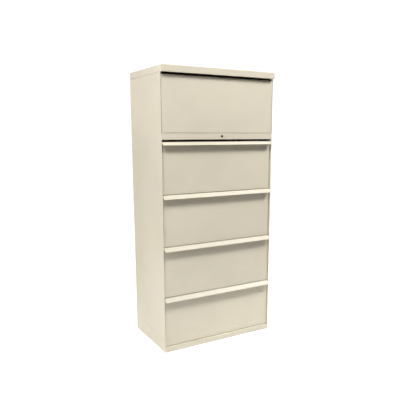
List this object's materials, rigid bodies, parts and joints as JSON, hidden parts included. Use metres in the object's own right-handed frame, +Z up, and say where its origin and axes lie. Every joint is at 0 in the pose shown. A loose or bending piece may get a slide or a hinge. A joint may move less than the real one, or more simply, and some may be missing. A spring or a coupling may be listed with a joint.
{
  "type": "lateral filing cabinet",
  "caption": "Tall lateral filing cabinet in cream painted steel: file drawers with full-width hood pulls under a compartment with a flip-up receding door.",
  "frame": {"origin": "on the floor, at the middle of the footprint", "axes": "+Z up, front faces -Y, +X to the right seen from the front"},
  "size_m": [0.762, 0.4772, 1.675],
  "materials": {
    "case_paint": "satin cream powder coat with a fine orange-peel texture",
    "front_paint": "satin cream powder coat with a fine orange-peel texture",
    "inner_paint": "thinner cream coat on hidden sheet",
    "zinc_steel": "zinc plated with light rolling marks",
    "lock_black": "semi-gloss black",
    "cast_weight": "raw, slightly rusted",
    "nylon": "natural nylon",
    "glide_black": "black moulded foot"
  },
  "bodies": {
    "cabinet": {"side_left": "case_paint", "side_right": "case_paint", "back_panel": "inner_paint", "top_cap": "case_paint", "top_inner": "inner_paint", "base_front": "case_paint", "bottom_pan": "inner_paint", "lock_rail": "case_paint", "compartment_floor": "inner_paint", "uprights_left": "zinc_steel", "uprights_right": "zinc_steel", "counterweight": "cast_weight", "levelling_glides": "glide_black", "glide_nuts": "zinc_steel", "door_tracks": "zinc_steel", "lock_barrel": "lock_black", "lock_bar_guides": "zinc_steel", "case_screws": "zinc_steel", "slide_outer_1": "zinc_steel", "slide_outer_2": "zinc_steel", "slide_outer_3": "zinc_steel", "slide_outer_4": "zinc_steel"},
    "door_carriage": {"door_carriage": "zinc_steel"},
    "equaliser": {"equaliser_shaft": "zinc_steel", "track_rollers": "nylon"},
    "door": {"door_skin": "front_paint", "door_pan": "inner_paint", "hinge_brackets": "zinc_steel", "hinge_pins": "zinc_steel"},
    "lock_cylinder": {"lock_plug": "lock_black", "lock_cam": "zinc_steel"},
    "lock_rod": {"lock_rod": "zinc_steel"},
    "lock_bar": {"lock_bar": "zinc_steel", "lock_bar_head": "zinc_steel"},
    "drawer_1": {"drawer_front_1": "front_paint", "pull_1": "front_paint", "tray_1": "inner_paint", "hang_rails_1": "zinc_steel", "slide_inner_1": "zinc_steel"},
    "slide_middle_1": {"slide_middle_1": "zinc_steel"},
    "drawer_2": {"drawer_front_2": "front_paint", "pull_2": "front_paint", "tray_2": "inner_paint", "hang_rails_2": "zinc_steel", "slide_inner_2": "zinc_steel"},
    "slide_middle_2": {"slide_middle_2": "zinc_steel"},
    "drawer_3": {"drawer_front_3": "front_paint", "pull_3": "front_paint", "tray_3": "inner_paint", "hang_rails_3": "zinc_steel", "slide_inner_3": "zinc_steel"},
    "slide_middle_3": {"slide_middle_3": "zinc_steel"},
    "drawer_4": {"drawer_front_4": "front_paint", "pull_4": "front_paint", "tray_4": "inner_paint", "hang_rails_4": "zinc_steel", "slide_inner_4": "zinc_steel"},
    "slide_middle_4": {"slide_middle_4": "zinc_steel"}
  },
  "joints": [
    {"name": "drawer_1_slide", "type": "slide", "parent": "cabinet", "child": "drawer_1", "axis": [0, -1, 0], "range_m": [0, 0.38]},
    {"name": "middle_1_slide", "type": "slide", "parent": "cabinet", "child": "slide_middle_1", "axis": [0, -1, 0], "range_m": [0, 0.19]},
    {"name": "drawer_2_slide", "type": "slide", "parent": "cabinet", "child": "drawer_2", "axis": [0, -1, 0], "range_m": [0, 0.38]},
    {"name": "middle_2_slide", "type": "slide", "parent": "cabinet", "child": "slide_middle_2", "axis": [0, -1, 0], "range_m": [0, 0.19]},
    {"name": "drawer_3_slide", "type": "slide", "parent": "cabinet", "child": "drawer_3", "axis": [0, -1, 0], "range_m": [0, 0.38]},
    {"name": "middle_3_slide", "type": "slide", "parent": "cabinet", "child": "slide_middle_3", "axis": [0, -1, 0], "range_m": [0, 0.19]},
    {"name": "drawer_4_slide", "type": "slide", "parent": "cabinet", "child": "drawer_4", "axis": [0, -1, 0], "range_m": [0, 0.38]},
    {"name": "middle_4_slide", "type": "slide", "parent": "cabinet", "child": "slide_middle_4", "axis": [0, -1, 0], "range_m": [0, 0.19]},
    {"name": "door_recede", "type": "slide", "parent": "cabinet", "child": "door_carriage", "axis": [0, 1, 0], "range_m": [0, 0.28]},
    {"name": "door_flip", "type": "hinge", "parent": "door_carriage", "child": "door", "pos_m": [0, -0.2102, 1.6164], "axis": [-1, 0, 0], "range_deg": [0, 90]},
    {"name": "equaliser_spin", "type": "hinge", "parent": "door_carriage", "child": "equaliser", "pos_m": [0, -0.189, 1.6499], "axis": [-1, 0, 0], "range_deg": [0, 1726]},
    {"name": "lock_turn", "type": "hinge", "parent": "cabinet", "child": "lock_cylinder", "pos_m": [0.013, -0.2202, 1.29095], "axis": [0, 1, 0], "range_deg": [0, 90]},
    {"name": "lock_rod_push", "type": "slide", "parent": "cabinet", "child": "lock_rod", "axis": [-1, 0, 0], "range_m": [0, 0.01698]},
    {"name": "lock_bar_lift", "type": "slide", "parent": "cabinet", "child": "lock_bar", "axis": [0, 0, 1], "range_m": [0, 0.012]}
  ],
  "couplings": [
    {"joint": "middle_1_slide", "follows": "drawer_1_slide", "ratio": 0.5},
    {"joint": "middle_2_slide", "follows": "drawer_2_slide", "ratio": 0.5},
    {"joint": "middle_3_slide", "follows": "drawer_3_slide", "ratio": 0.5},
    {"joint": "middle_4_slide", "follows": "drawer_4_slide", "ratio": 0.5},
    {"joint": "door_flip", "follows": "door_recede", "rad_per_m": 5.6099},
    {"joint": "equaliser_spin", "follows": "door_recede", "rad_per_m": 107.53},
    {"joint": "lock_rod_push", "follows": "lock_bar_lift", "ratio": 1.4142},
    {"joint": "lock_turn", "follows": "lock_bar_lift", "rad_per_m": 130.9}
  ]
}
